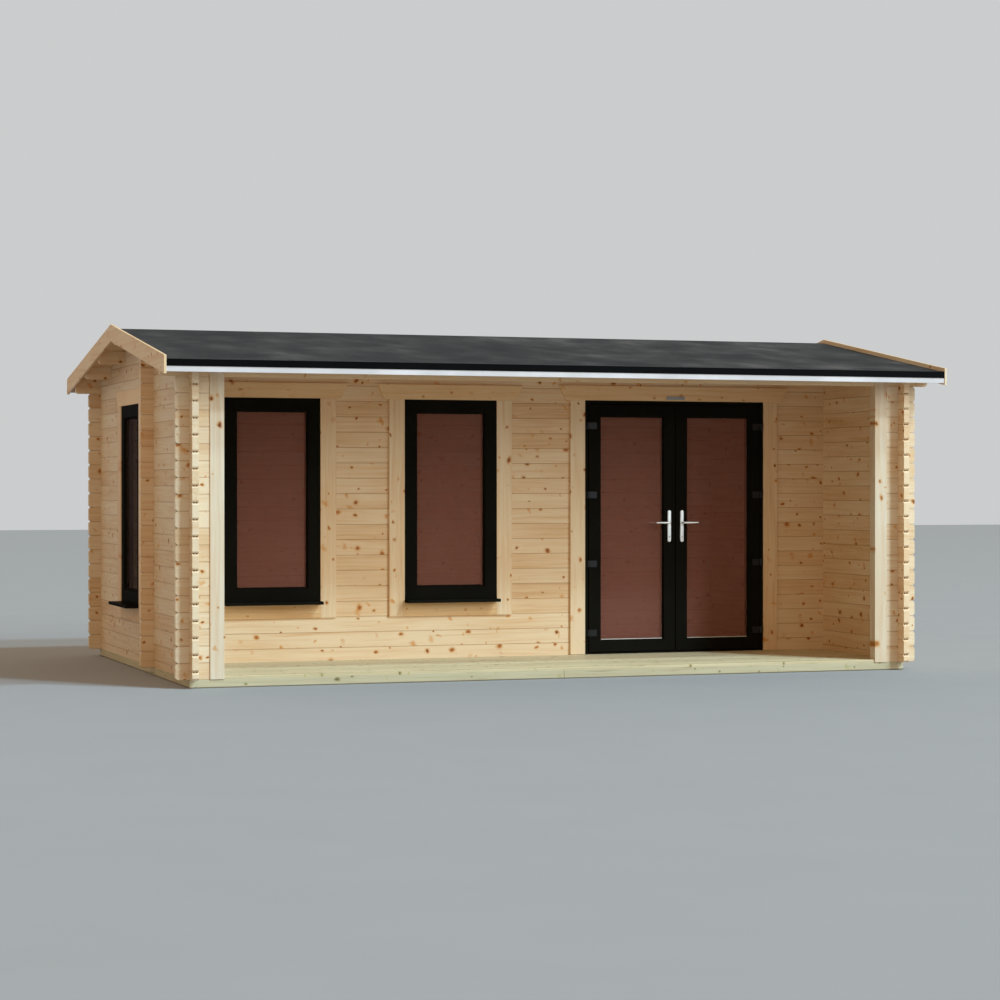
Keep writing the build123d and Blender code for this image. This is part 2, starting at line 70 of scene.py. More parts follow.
# Sizes of the scene's own detail, in metres
LOG_JOINT = 0.0014
BOARD_JOINT = 0.0025
BOARD_EDGE = 0.002
FITTING_EDGE = 0.0012
SOFFIT_BOARD = 0.11
FLOOR_BOARD = 0.11
DECK_BOARD = 0.1239
DECK_BOARDS = 10
DECK_THICK = 0.020
DECK_GAP = 0.0005
SILL_NOSE = 0.033
PLATE_THICK = 0.008
LEVER_NECK = 0.0078
LEVER_FLAT = 0.0058
LEVER_BEND = 0.016
LEVER_TIP = 0.006
LEVER_SEAT = 0.002
KEYHOLE_Z = 0.979
KEYHOLE_RADIUS = 0.0032
KEYHOLE_SLOT = (0.0026, 0.0008, 0.012)
LIP_SIDE = 0.006
HEAD_PLATE_SIZE = (0.151, 0.004, 0.025)
HEAD_PLATE_MIDDLE = (1.3775, -0.518, 2.0485)

# Turns what is drawn flat to face the front
FACING_FRONT = Euler((math.pi / 2, 0, 0)).to_matrix()


class Finish:
    """A procedural material and short ways to add nodes to it."""

    def __init__(self, name):
        self.material = bpy.data.materials.new(name)
        self.material.use_nodes = True
        self.tree = self.material.node_tree
        self.shader = self.tree.nodes["Principled BSDF"]

    def put(self, socket, value):
        if isinstance(value, bpy.types.NodeSocket):
            self.tree.links.new(value, socket)
        else:
            socket.default_value = value

    def add(self, kind, inputs, **settings):
        made = self.tree.nodes.new(kind)
        for key, value in settings.items():
            setattr(made, key, value)
        for key, value in inputs.items():
            self.put(made.inputs[key], value)
        return made

    def math(self, operation, *values):
        made = self.add("ShaderNodeMath", dict(enumerate(values)), operation=operation)
        return made.outputs[0]

    def times(self, a, b):
        return self.math("MULTIPLY", a, b)

    def plus(self, a, b):
        return self.math("ADD", a, b)

    def step(self, value, low, high):
        """Smooth step from 0 at low to 1 at high."""
        made = self.add(
            "ShaderNodeMapRange",
            {"Value": value, "From Min": low, "From Max": high},
            interpolation_type="SMOOTHSTEP",
        )
        return made.outputs["Result"]

    def fall(self, value, low, high):
        return self.math("SUBTRACT", 1.0, self.step(value, low, high))

    def vector(self, x, y, z):
        return self.add("ShaderNodeCombineXYZ", {"X": x, "Y": y, "Z": z}).outputs[0]

    def split(self, vector):
        return self.add("ShaderNodeSeparateXYZ", {0: vector}).outputs

    def noise(self, vector, scale, detail=2.0, rough=0.5):
        made = self.add(
            "ShaderNodeTexNoise",
            {"Vector": vector, "Scale": scale, "Detail": detail, "Roughness": rough},
        )
        return made.outputs["Fac"]

    def noise_colour(self, vector, scale):
        made = self.add("ShaderNodeTexNoise", {"Vector": vector, "Scale": scale, "Detail": 1.0})
        return made.outputs["Color"]

    def mix(self, factor, a, b):
        made = self.add("ShaderNodeMix", {0: factor, 6: a, 7: b}, data_type="RGBA")
        return made.outputs[2]

    def ramp(self, value, stops):
        made = self.add("ShaderNodeValToRGB", {"Fac": value})
        elements = made.color_ramp.elements
        while len(elements) < len(stops):
            elements.new(0.5)
        for element, (place, colour) in zip(elements, stops):
            element.position = place
            element.color = colour
        return made.outputs["Color"]

    def coordinates(self):
        return self.add("ShaderNodeTexCoord", {}).outputs

    def bump(self, height, strength, distance):
        made = self.add("ShaderNodeBump", {"Height": height, "Strength": strength, "Distance": distance})
        self.put(self.shader.inputs["Normal"], made.outputs["Normal"])

    def set(self, **inputs):
        for key, value in inputs.items():
            self.put(self.shader.inputs[key.replace("_", " ")], value)


def tint(red, green, blue):
    return (red, green, blue, 1.0)


SPRUCE = {
    "light": tint(0.823, 0.665, 0.468),
    "mid": tint(0.760, 0.542, 0.329),
    "dark": tint(0.583, 0.317, 0.127),
    "resin": tint(0.629, 0.330, 0.100),
    "knot": tint(0.518, 0.173, 0.022),
    "knot_rim": tint(0.120, 0.026, 0.004),
    "halo": tint(0.638, 0.315, 0.078),
    "blotch": tint(0.647, 0.264, 0.039),
    "joint": tint(0.370, 0.168, 0.050),
}
TREATED = {
    "light": tint(0.601, 0.528, 0.361),
    "mid": tint(0.541, 0.462, 0.304),
    "dark": tint(0.389, 0.315, 0.180),
    "resin": tint(0.407, 0.406, 0.205),
    "knot": tint(0.259, 0.193, 0.078),
    "knot_rim": tint(0.093, 0.061, 0.028),
    "halo": tint(0.426, 0.396, 0.205),
    "blotch": tint(0.389, 0.376, 0.133),
    "joint": tint(0.204, 0.193, 0.105),
}


def restained(stain, gains):
    """A stain with its red, green and blue made stronger or weaker."""
    return {
        name: tint(*[part * gain for part, gain in zip(colour, gains)])
        for name, colour in stain.items()
    }


# Painted light: a paler copy of the treated stain for the deck boards, where light falls on them
DECKING_PAINTED_LIGHT = restained(TREATED, (1.21, 1.17, 1.11))
# Painted shade: a warmer copy of the spruce for the porch walls, the right gable and the upright trims
PORCH_SPRUCE_PAINTED_SHADE = restained(SPRUCE, (1.06, 0.99, 0.92))
# Painted shade: a darker, warmer copy of the spruce for the timbers, barge boards and soffit under the
# eaves
EAVES_SPRUCE_PAINTED_SHADE = restained(SPRUCE, (0.98, 0.89, 0.77))
# Painted shade: a warmer, darker copy of the spruce for the head and bottom trims
TRIM_SPRUCE_PAINTED_SHADE = restained(SPRUCE, (1.05, 0.90, 0.70))
# Painted light: a paler, cooler copy of the spruce for the posts, where light falls on them
POST_SPRUCE_PAINTED_LIGHT = restained(SPRUCE, (0.93, 0.98, 1.08))


def spots(f, x, y, least, most, share):
    """Scattered spots in a plane: how near each one is, how dark it is, and where there is one."""
    cells = f.add(
        "ShaderNodeTexVoronoi",
        {"Vector": f.vector(x, y, 0.0), "Scale": 1.0},
        voronoi_dimensions="2D",
    )
    size, picked, depth = f.split(cells.outputs["Color"])
    radius = f.plus(least, f.times(f.math("POWER", size, 2.0), most - least))
    nearness = f.math("DIVIDE", cells.outputs["Distance"], radius)
    return nearness, depth, f.fall(picked, share - 0.02, share + 0.02)


def timber(
    name,
    run,
    seed,
    rows,
    centre=0.0,
    stain=SPRUCE,
    joint_marks=False,
    knots=1.0,
    painted_foot_shadow=0.0,
    gloss=0.42,
    cracks=0.0,
):
    """Planed softwood: rings, streaks and knots that follow each row of boards or logs."""
    f = Finish(name)
    coordinates = f.coordinates()
    x, y, z = f.split(coordinates["Object"])
    along, across, depth = {"x": (x, z, y), "y": (y, z, x), "z": (z, x, y), "deck": (x, y, z)}[run]
    normal = f.split(coordinates["Normal"])[{"x": 0, "y": 1, "z": 2, "deck": 0}[run]]
    end_face = f.step(f.math("ABSOLUTE", normal), 0.45, 0.6)
    base, pitch = rows
    counted = f.math("DIVIDE", f.math("SUBTRACT", across, base), pitch)
    row = f.math("FLOOR", counted)
    local = f.times(f.math("SUBTRACT", counted, row), pitch)
    chance = f.add("ShaderNodeTexWhiteNoise", {"W": f.plus(row, seed)}, noise_dimensions="1D")
    shift, heart, shade = f.split(chance.outputs["Color"])
    reach = f.plus(along, f.times(shift, 9.0))

    # Round dark knots, and orange blotches that slant across the grain
    bend = f.split(f.noise_colour(f.vector(f.times(reach, 14.0), f.times(across, 18.0), row), 1.0))
    sway = f.math("SUBTRACT", bend[0], 0.5)
    lift = f.math("SUBTRACT", bend[1], 0.5)
    height = f.plus(across, f.times(heart, 2.0))
    knot_x = f.plus(f.times(reach, 5.4), f.times(sway, 0.20))
    knot_y = f.plus(f.times(height, 7.0), f.times(lift, 0.24))
    spread, age, placed = spots(f, knot_x, knot_y, 0.040, 0.112, 0.68)
    slant_x = f.plus(f.plus(f.times(reach, 6.2), f.times(height, 2.6)), f.times(sway, 0.5))
    slant_y = f.plus(f.math("SUBTRACT", f.times(height, 5.2), f.times(reach, 1.2)), f.times(lift, 0.5))
    smudge, fade, smudged = spots(f, slant_x, slant_y, 0.06, 0.19, 0.70)
    side_face = f.times(f.math("SUBTRACT", 1.0, end_face), knots)
    present = f.times(placed, side_face)
    core = f.times(f.fall(spread, 0.70, 1.12), present)
    rim = f.times(core, f.fall(spread, 0.20, 1.0))
    halo = f.times(f.fall(spread, 0.8, 2.1), present)
    blotch = f.times(f.times(f.fall(smudge, 0.10, 1.15), smudged), side_face)

    # Growth rings round a heart that wanders along the piece
    wander = f.noise(f.vector(f.times(reach, 0.9), f.times(local, 3.0), f.times(depth, 3.0)), 1.0, 2.0)
    pith = f.times(pitch, f.plus(0.1, f.times(heart, 0.8)))
    c = f.plus(f.math("SUBTRACT", local, pith), f.times(f.math("SUBTRACT", wander, 0.5), 0.09))
    c = f.plus(c, f.times(halo, 0.010))
    d = f.plus(f.math("SUBTRACT", depth, centre), f.times(f.math("SUBTRACT", shade, 0.5), 0.12))
    ring_radius = f.math("SQRT", f.plus(f.times(c, c), f.times(d, d)))
    ring = f.math("POWER", f.math("FRACT", f.times(ring_radius, 170.0)), 2.2)
    streak = f.noise(f.vector(f.times(reach, 1.5), f.times(c, 46.0), f.times(d, 46.0)), 1.0, 3.0, 0.6)
    fibre = f.noise(f.vector(f.times(reach, 9.0), f.times(c, 420.0), f.times(d, 420.0)), 1.0, 2.0)
    cloud = f.noise(f.vector(f.times(reach, 0.8), f.plus(row, local), depth), 1.6, 2.0)

    tone = f.plus(0.22, f.times(ring, 0.16))
    tone = f.plus(tone, f.times(f.math("SUBTRACT", streak, 0.5), 1.15))
    tone = f.plus(tone, f.times(f.math("SUBTRACT", fibre, 0.5), 0.36))
    tone = f.plus(tone, f.times(f.math("SUBTRACT", shade, 0.5), 0.42))
    tone = f.plus(tone, f.times(f.math("SUBTRACT", cloud, 0.5), 0.9))
    tone = f.plus(tone, f.times(end_face, -0.20))
    colour = f.ramp(tone, [(0.0, stain["light"]), (0.42, stain["mid"]), (1.0, stain["dark"])])
    warm = f.noise(f.vector(f.times(reach, 0.9), f.times(c, 24.0), f.plus(row, seed)), 1.0, 3.0, 0.55)
    colour = f.mix(f.times(f.step(warm, 0.56, 0.80), 0.50), colour, stain["resin"])
    colour = f.mix(f.times(halo, 0.62), colour, stain["halo"])
    colour = f.mix(f.times(blotch, f.plus(0.40, f.times(fade, 0.55))), colour, stain["blotch"])
    colour = f.mix(f.times(core, 0.94), colour, stain["knot"])
    colour = f.mix(f.times(rim, f.plus(0.20, f.times(age, 0.80))), colour, stain["knot_rim"])

    if joint_marks:
        # Shade in the joints, and the dark ends of the tongues and grooves, two at each joint
        near_joint = f.math("MINIMUM", local, f.math("SUBTRACT", pitch, local))
        colour = f.mix(f.times(f.fall(near_joint, 0.0012, 0.0046), 0.52), colour, stain["joint"])
        sideways = f.math("ABSOLUTE", f.math("SUBTRACT", depth, centre))
        off_tongue = f.math("ABSOLUTE", f.math("SUBTRACT", sideways, 0.0095))
        mark = f.times(f.fall(near_joint, 0.0030, 0.0060), f.fall(off_tongue, 0.0040, 0.0065))
        colour = f.mix(f.times(mark, end_face), colour, tint(0.110, 0.040, 0.016))

    if cracks:
        # Fine drying cracks along the grain
        grain = f.vector(f.times(reach, 2.2), f.times(across, 95.0), f.times(depth, 95.0))
        crack = f.noise(grain, 1.0, 2.0)
        colour = f.mix(f.times(f.step(crack, 0.66, 0.71), cracks), colour, stain["knot_rim"])
    if painted_foot_shadow:
        # Painted shadow: a dark line along the bottom edge
        colour = f.mix(f.times(f.fall(z, 0.004, 0.011), painted_foot_shadow), colour, stain["knot_rim"])
    f.set(Base_Color=colour, Specular_IOR_Level=gloss)
    f.set(Roughness=f.plus(0.42, f.times(streak, 0.18)))
    f.bump(f.plus(f.times(ring, 0.6), f.plus(fibre, f.times(core, -0.8))), 0.16, 0.0012)
    return f.material


def moulded(name, colour, roughness, grain_scale, grain, level=0.35):
    """Smooth plastic, rubber or paint with a fine skin and slight uneven gloss."""
    f = Finish(name)
    place = f.coordinates()["Object"]
    skin = f.noise(place, grain_scale, 2.0, 0.6)
    patch = f.noise(place, 3.0, 3.0)
    dusty = [min(1.0, c * 1.22 + 0.0006) for c in colour]
    shade = f.mix(f.step(patch, 0.35, 0.75), tint(*colour), tint(*dusty))
    f.set(Base_Color=shade, Specular_IOR_Level=level)
    f.set(Roughness=f.plus(roughness, f.times(f.math("SUBTRACT", patch, 0.5), 0.16)))
    f.bump(skin, grain, 0.0006)
    return f.material


def sheet_rubber():
    """Roof sheet: dark grey, with blotches and creases, and a painted highlight as a paler band along
    its edge at the eaves.
    """
    f = Finish("roof_sheet_rubber")
    place = f.coordinates()["Object"]
    x, y = f.split(place)[:2]
    blotch = f.noise(f.vector(f.times(x, 1.0), f.times(y, 0.8), 0.0), 2.6, 5.0, 0.62)
    cloud = f.noise(f.vector(f.times(x, 0.6), f.times(y, 1.3), 0.0), 1.1, 3.0)
    grit = f.noise(place, 420.0, 2.0)
    tone = f.plus(f.times(blotch, 0.62), f.plus(f.times(cloud, 0.28), f.times(grit, 0.10)))
    stops = [
        (0.36, tint(0.0064, 0.0059, 0.0058)),
        (0.47, tint(0.0214, 0.0197, 0.0191)),
        (0.55, tint(0.0407, 0.0374, 0.0358)),
        (0.66, tint(0.0910, 0.0837, 0.0795)),
    ]
    # Painted highlight: a paler band along the sheet's edge at the eaves, where light catches it
    painted_edge_highlight = f.times(f.step(f.math("ABSOLUTE", y), SHEET_EDGE_Y - 0.022, SHEET_EDGE_Y - 0.012), 0.55)
    colour = f.mix(painted_edge_highlight, f.ramp(tone, stops), tint(0.1070, 0.0985, 0.0939))
    f.set(Base_Color=colour, Specular_IOR_Level=0.10)
    f.set(Roughness=f.plus(0.58, f.times(blotch, 0.2)))
    f.bump(f.plus(f.times(cloud, 3.0), f.times(grit, 0.4)), 0.25, 0.004)
    return f.material


def tinted_glass():
    """Brown see-through glass, with painted shade that makes the gable's window darker."""
    f = Finish("tinted_glass")
    place = f.coordinates()["Object"]
    smear = f.noise(place, 2.2, 2.0)
    colour = f.mix(smear, tint(0.365, 0.143, 0.107), tint(0.330, 0.127, 0.095))
    # Painted shade: the gable's pane is made darker than the others
    gable_painted_shade = f.fall(f.split(place)[0], *GABLE_PANE_X)
    colour = f.mix(gable_painted_shade, colour, tint(0.070, 0.040, 0.034))
    f.set(Base_Color=colour, Roughness=f.plus(0.02, f.times(smear, 0.03)))
    f.set(Alpha=0.36, Specular_IOR_Level=0.0008)
    return f.material


def polished(name, colour, low, high):
    """Metal whose gloss varies between two roughnesses."""
    f = Finish(name)
    place = f.coordinates()["Object"]
    smear = f.noise(place, 35.0, 3.0, 0.6)
    f.set(Base_Color=f.mix(smear, tint(*colour), tint(*[c * 0.93 for c in colour])), Metallic=1.0)
    f.set(Roughness=f.plus(low, f.times(smear, high - low)))
    return f.material


def logs(name, run, seed, rows, centre, stain=SPRUCE):
    return timber(name, run, seed, rows, centre, stain, joint_marks=True)


# Where the first row of boards or logs starts, and the height or width of a row
GABLE_ROWS = (LOG_FOOT + COURSE / 2, COURSE)
WALL_ROWS = (LOG_FOOT, COURSE)
LEVEL_ROWS = (-0.02, 0.35)
UPRIGHT_ROWS = (-0.15, 0.5)
PURLIN_ROWS = (2.0, 0.2)
SLOPE_ROWS = (2.0, 1.0)
BEARER_ROWS = (0.0, 0.2)
FLOOR_ROWS = (ROOM_FACE_Y, FLOOR_BOARD)
DECK_ROWS = (WALL_FACE_Y, DECK_BOARD)
BEARER_LOOK = {"stain": TREATED, "knots": 0.7, "painted_foot_shadow": 0.8, "gloss": 0.1, "cracks": 0.6}
finishes = {
    "front_logs": logs("front_wall_spruce", "x", 11.0, WALL_ROWS, FRONT_Y, PORCH_SPRUCE_PAINTED_SHADE),
    "rear_logs": logs("rear_wall_spruce", "x", 57.0, WALL_ROWS, REAR_Y),
    "wing_logs": logs("wing_spruce", "x", 103.0, WALL_ROWS, WING_Y),
    "left_logs": logs("left_gable_spruce", "y", 151.0, GABLE_ROWS, -GABLE_X),
    "right_logs": logs("right_gable_spruce", "y", 197.0, GABLE_ROWS, GABLE_X, PORCH_SPRUCE_PAINTED_SHADE),
    "level_boards": timber("level_trim_spruce", "x", 233.0, LEVEL_ROWS, stain=TRIM_SPRUCE_PAINTED_SHADE, knots=0.5),
    "upright_boards": timber("upright_trim_spruce", "z", 271.0, UPRIGHT_ROWS, stain=PORCH_SPRUCE_PAINTED_SHADE),
    "posts": timber("post_spruce", "z", 271.0, UPRIGHT_ROWS, stain=POST_SPRUCE_PAINTED_LIGHT),
    "roof_timbers": timber("purlin_spruce", "x", 313.0, PURLIN_ROWS, stain=EAVES_SPRUCE_PAINTED_SHADE),
    "barge_boards": timber("barge_spruce", "y", 359.0, SLOPE_ROWS, stain=EAVES_SPRUCE_PAINTED_SHADE),
    # Painted light: the right barge boards keep the plain, paler spruce, while the left ones take the
    # eaves' painted shade
    "pale_barge_boards": timber("barge_spruce_painted_light", "y", 359.0, SLOPE_ROWS),
    "soffit": timber("soffit_spruce", "y", 401.0, SLOPE_ROWS, stain=EAVES_SPRUCE_PAINTED_SHADE),
    "floor": timber("floor_spruce", "deck", 449.0, FLOOR_ROWS),
    "deck": timber("treated_deck", "deck", 487.0, DECK_ROWS, stain=DECKING_PAINTED_LIGHT, gloss=0.06, cracks=0.4),
    "bearer": timber("treated_bearer", "x", 521.0, BEARER_ROWS, **BEARER_LOOK),
    "side_bearer": timber("treated_side_bearer", "y", 557.0, BEARER_ROWS, **BEARER_LOOK),
    "frame": moulded("satin_black_frame", (0.0085, 0.0078, 0.0060), 0.32, 900.0, 0.05, 0.0004),
    "edge": moulded("black_edge_trim", (0.0030, 0.0030, 0.0031), 0.42, 700.0, 0.06, 0.03),
    "fascia": moulded("white_fascia", (0.657, 0.620, 0.633), 0.32, 600.0, 0.03, 0.35),
    "hinge": polished("grey_hinge", (0.036, 0.035, 0.035), 0.30, 0.40),
    "rubber": sheet_rubber(),
    "glass": tinted_glass(),
    "chrome": polished("polished_handle", (0.99, 0.970, 0.950), 0.50, 0.58),
    "grey_plate": polished("dull_grey_plate", (0.36, 0.36, 0.37), 0.38, 0.50),
    "keyhole_painted_shade": moulded("keyhole_dark_painted_shade", (0.010, 0.009, 0.008), 0.6, 900.0, 0.02, 0.2),
    # Painted highlight on the lower glazing beads of the doors
    "lip_painted_highlight": moulded("pale_bead_lip", (0.62, 0.60, 0.56), 0.35, 900.0, 0.03, 0.4),
}


def finish_mesh(bm, name):
    mesh = bpy.data.meshes.new(name)
    bm.to_mesh(mesh)
    bm.free()
    return mesh


def show(bm, name, finish, body):
    """Makes an object of a bmesh, gives it its finish and sets it on its body."""
    mesh = finish_mesh(bm, name)
    piece = bpy.data.objects.new(name, mesh)
    bpy.context.scene.collection.objects.link(piece)
    mesh.materials.append(finishes[finish])
    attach(piece, body)
    return piece


def stand_in(bm, node, ending, finish):
    """Shows a bmesh in the place of a node."""
    piece = show(bm, f"{node}_{ending}", finish, body_of[node])
    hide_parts(node)


def welded(node):
    """Copy of a node's mesh with its triangles joined to flat faces."""
    bm = bmesh.new()
    bm.from_mesh(nodes[node].data)
    bmesh.ops.remove_doubles(bm, verts=bm.verts, dist=1e-5)
    bmesh.ops.dissolve_limit(bm, angle_limit=math.radians(0.5), verts=bm.verts, edges=bm.edges)
    return bm


def ease(bm, edges, width, segments, clamp=True):
    bmesh.ops.bevel(
        bm,
        geom=edges,
        offset=width,
        offset_type="OFFSET",
        segments=segments,
        profile=0.5,
        affect="EDGES",
        clamp_overlap=clamp,
        material=-1,
    )


def sharp_edges(bm, least_length=0.0):
    """Edges whose two faces turn by more than 25 degrees."""
    return [
        edge
        for edge in bm.edges
        if edge.is_manifold
        and edge.calc_length() > least_length
        and edge.calc_face_angle() > math.radians(25)
    ]


def eased(node, finish, width):
    """Copy of a node with its edges eased, which stands for the node."""
    bm = welded(node)
    ease(bm, sharp_edges(bm), width, 2)
    stand_in(bm, node, "eased", finish)


def planed_logs(node, finish, run):
    """Copy of a wall's logs with a V groove along each joint."""
    bm = welded(node)
    direction = {"x": Vector((1, 0, 0)), "y": Vector((0, 1, 0))}[run]
    long_edges = []
    for edge in sharp_edges(bm, 0.06):
        way = (edge.verts[1].co - edge.verts[0].co).normalized()
        if abs(way.dot(direction)) > 0.999:
            long_edges.append(edge)
    ease(bm, long_edges, LOG_JOINT, 1, clamp=False)
    stand_in(bm, node, "planed", finish)


# Log walls
for parity in ("even", "odd"):
    planed_logs(f"front_wall_{parity}_logs", "front_logs", "x")
    planed_logs(f"rear_wall_{parity}_logs", "rear_logs", "x")
    planed_logs(f"wing_{parity}_logs", "wing_logs", "x")
    planed_logs(f"left_gable_{parity}_logs", "left_logs", "y")
    planed_logs(f"right_gable_{parity}_logs", "right_logs", "y")

# Boards, timbers and frames with eased edges
EASED_WIDTH = {"hinge": FITTING_EDGE, "fascia": 0.0015, "edge": FITTING_EDGE, "frame": 0.0025}
for node, finish in {
    "wing_posts": "posts",
    "jamb_trims": "upright_boards",
    "head_trims": "level_boards",
    "bottom_trims": "level_boards",
    "eave_beams": "roof_timbers",
    "roof_purlins": "roof_timbers",
    "left_front_barge_board": "barge_boards",
    "left_rear_barge_board": "barge_boards",
    "right_front_barge_board": "pale_barge_boards",
    "right_rear_barge_board": "pale_barge_boards",
    "cross_bearers": "bearer",
    "side_bearers": "side_bearer",
    "window_frames": "frame",
    "door_frame": "frame",
    "left_door_sash": "frame",
    "right_door_sash": "frame",
    "hinge_frame_halves": "hinge",
    "left_door_hinge_leaves": "hinge",
    "right_door_hinge_leaves": "hinge",
    "eave_fascias": "fascia",
    "eave_edge_trims": "edge",
}.items():
    eased(node, finish, EASED_WIDTH.get(finish, BOARD_EDGE))

# Window sills, whose noses stand further out than the solids' do
sill_bm = welded("window_sills")
for vert in sill_bm.verts:
    if vert.co.x < GABLE_SILL_X:
        vert.co.x -= SILL_NOSE
    elif vert.co.y < FRONT_SILL_Y:
        vert.co.y -= SILL_NOSE
ease(sill_bm, sharp_edges(sill_bm), EASED_WIDTH["frame"], 2)
stand_in(sill_bm, "window_sills", "eased", "frame")


def boarded(node, finish, axis, first, pitch, facing):
    """Copy of a flat node with a V joint at each board's edge, in the faces on one side."""
    bm = welded(node)
    low = min(v.co[axis] for v in bm.verts)
    high = max(v.co[axis] for v in bm.verts)
    direction = Vector((0, 0, 0))
    direction[axis] = 1.0
    joints = []
    count = math.ceil((low - first) / pitch)
    while first + count * pitch < high - 0.01:
        if first + count * pitch > low + 0.01:
            joints.append(first + count * pitch)
        count += 1
    for joint in joints:
        for step in (-BOARD_JOINT, 0.0, BOARD_JOINT):
            bmesh.ops.bisect_plane(
                bm,
                geom=bm.verts[:] + bm.edges[:] + bm.faces[:],
                dist=1e-6,
                plane_co=direction * (joint + step),
                plane_no=direction,
            )
    bm.normal_update()
    for vert in bm.verts:
        in_joint = any(abs(vert.co[axis] - joint) < 1e-5 for joint in joints)
        if in_joint and any(face.normal.z * facing > 0.5 for face in vert.link_faces):
            vert.co.z -= facing * BOARD_JOINT
    stand_in(bm, node, "boarded", finish)


boarded("front_roof_boards", "soffit", 0, 0.0, SOFFIT_BOARD, -1)
boarded("rear_roof_boards", "soffit", 0, 0.0, SOFFIT_BOARD, -1)
boarded("room_floor", "floor", 1, ROOM_FACE_Y, FLOOR_BOARD, 1)


def deck_outline(row):
    """Plan of one deck board; the front one is cut round the posts and the wings."""
    near = WALL_FACE_Y - (row + 1) * DECK_BOARD + DECK_GAP
    far = WALL_FACE_Y - row * DECK_BOARD - DECK_GAP
    if row < DECK_BOARDS - 1:
        return [(-INNER_X, near), (INNER_X, near), (INNER_X, far), (-INNER_X, far)]
    right = [
        (POST_INNER_X, WING_FRONT_Y),
        (POST_INNER_X, POST_REAR_Y),
        (POST_OUTER_X, POST_REAR_Y),
        (POST_OUTER_X, WING_REAR_Y),
        (INNER_X, WING_REAR_Y),
        (INNER_X, far),
    ]
    return right + [(-x, y) for x, y in reversed(right)]


# Deck boards laid on the bearers and the deck's slab
deck_bm = bmesh.new()
for row in range(DECK_BOARDS):
    corners = [deck_bm.verts.new((x, y, LOG_FOOT)) for x, y in deck_outline(row)]
    board = deck_bm.faces.new(corners)
    raised = bmesh.ops.extrude_face_region(deck_bm, geom=[board])["geom"]
    top_verts = [part for part in raised if isinstance(part, bmesh.types.BMVert)]
    bmesh.ops.translate(deck_bm, verts=top_verts, vec=(0, 0, DECK_THICK))
    top_edges = [part for part in raised if isinstance(part, bmesh.types.BMEdge)]
    long_edges = [edge for edge in top_edges if edge.calc_length() > 4.0]
    ease(deck_bm, long_edges, BOARD_EDGE, 1)
bmesh.ops.recalc_face_normals(deck_bm, faces=deck_bm.faces)
show(deck_bm, "deck_boards", "deck", "cabin")

# Nodes that keep their own shapes
for node, finish in {
    "roof_membrane": "rubber",
    "porch_deck": "deck",
    "floor_joists": "side_bearer",
    "window_beads": "frame",
    "left_door_bead": "frame",
    "right_door_bead": "frame",
    "window_panes": "glass",
    "left_door_pane": "glass",
    "right_door_pane": "glass",
}.items():
    mesh = nodes[node].data
    mesh.materials.clear()
    mesh.materials.append(finishes[finish])


def node_span(node):
    points = [v.co for v in nodes[node].data.vertices]
    low = Vector([min(p[i] for p in points) for i in range(3)])
    high = Vector([max(p[i] for p in points) for i in range(3)])
    return low, high


def smooth(bm, angle):
    """Smooth faces, with the edges over an angle kept sharp."""
    bm.normal_update()
    for face in bm.faces:
        face.smooth = True
    for edge in bm.edges:
        edge.smooth = len(edge.link_faces) == 2 and edge.calc_face_angle() < math.radians(angle)


def add_plate(bm, middle, width, height, out):
    """Long plate with round ends and a domed face; out is the way it faces along Y."""
    made = bmesh.ops.create_circle(bm, cap_ends=True, segments=28, radius=width / 2)
    bmesh.ops.rotate(bm, verts=made["verts"], cent=(0, 0, 0), matrix=FACING_FRONT)
    reach = (height - width) / 2
    for vert in made["verts"]:
        vert.co.z += reach if vert.co.z > 0 else -reach
    bmesh.ops.translate(bm, verts=made["verts"], vec=middle)
    back = made["verts"][0].link_faces[0]
    raised = bmesh.ops.extrude_face_region(bm, geom=[back])["geom"]
    front = [part for part in raised if isinstance(part, bmesh.types.BMFace)][0]
    bmesh.ops.translate(bm, verts=front.verts[:], vec=(0, out * PLATE_THICK, 0))
    ease(bm, front.edges[:], PLATE_THICK * 0.55, 3)


def add_keyhole(bm, x, y):
    """Flat keyhole on the face of a plate: a round disc over a slot, dark as painted shade for the hole.
    """
    width, depth, height = KEYHOLE_SLOT
    made = bmesh.ops.create_cone(
        bm,
        cap_ends=True,
        segments=16,
        radius1=KEYHOLE_RADIUS,
        radius2=KEYHOLE_RADIUS,
        depth=depth,
    )
    bmesh.ops.rotate(bm, verts=made["verts"], cent=(0, 0, 0), matrix=FACING_FRONT)
    bmesh.ops.translate(bm, verts=made["verts"], vec=(x, y, KEYHOLE_Z))
    made = bmesh.ops.create_cube(bm, size=1.0)
    bmesh.ops.scale(bm, verts=made["verts"], vec=(width, depth, height))
    bmesh.ops.translate(bm, verts=made["verts"], vec=(x, y, KEYHOLE_Z - height / 2))


def carried(bm, edges, way, squeeze=1.0):
    """Extrudes a ring of edges along a way, squeezes the new ring and returns its edges."""
    grown = bmesh.ops.extrude_edge_only(bm, edges=edges)["geom"]
    ring = [part for part in grown if isinstance(part, bmesh.types.BMVert)]
    bmesh.ops.translate(bm, verts=ring, vec=way)
    centre = sum((vert.co for vert in ring), Vector()) / len(ring)
    for vert in ring:
        vert.co.z = centre.z + (vert.co.z - centre.z) * squeeze
        vert.co.y = centre.y + (vert.co.y - centre.y) * (1.0 + squeeze) / 2
    new_edges = [part for part in grown if isinstance(part, bmesh.types.BMEdge)]
    return [edge for edge in new_edges if all(vert in ring for vert in edge.verts)]


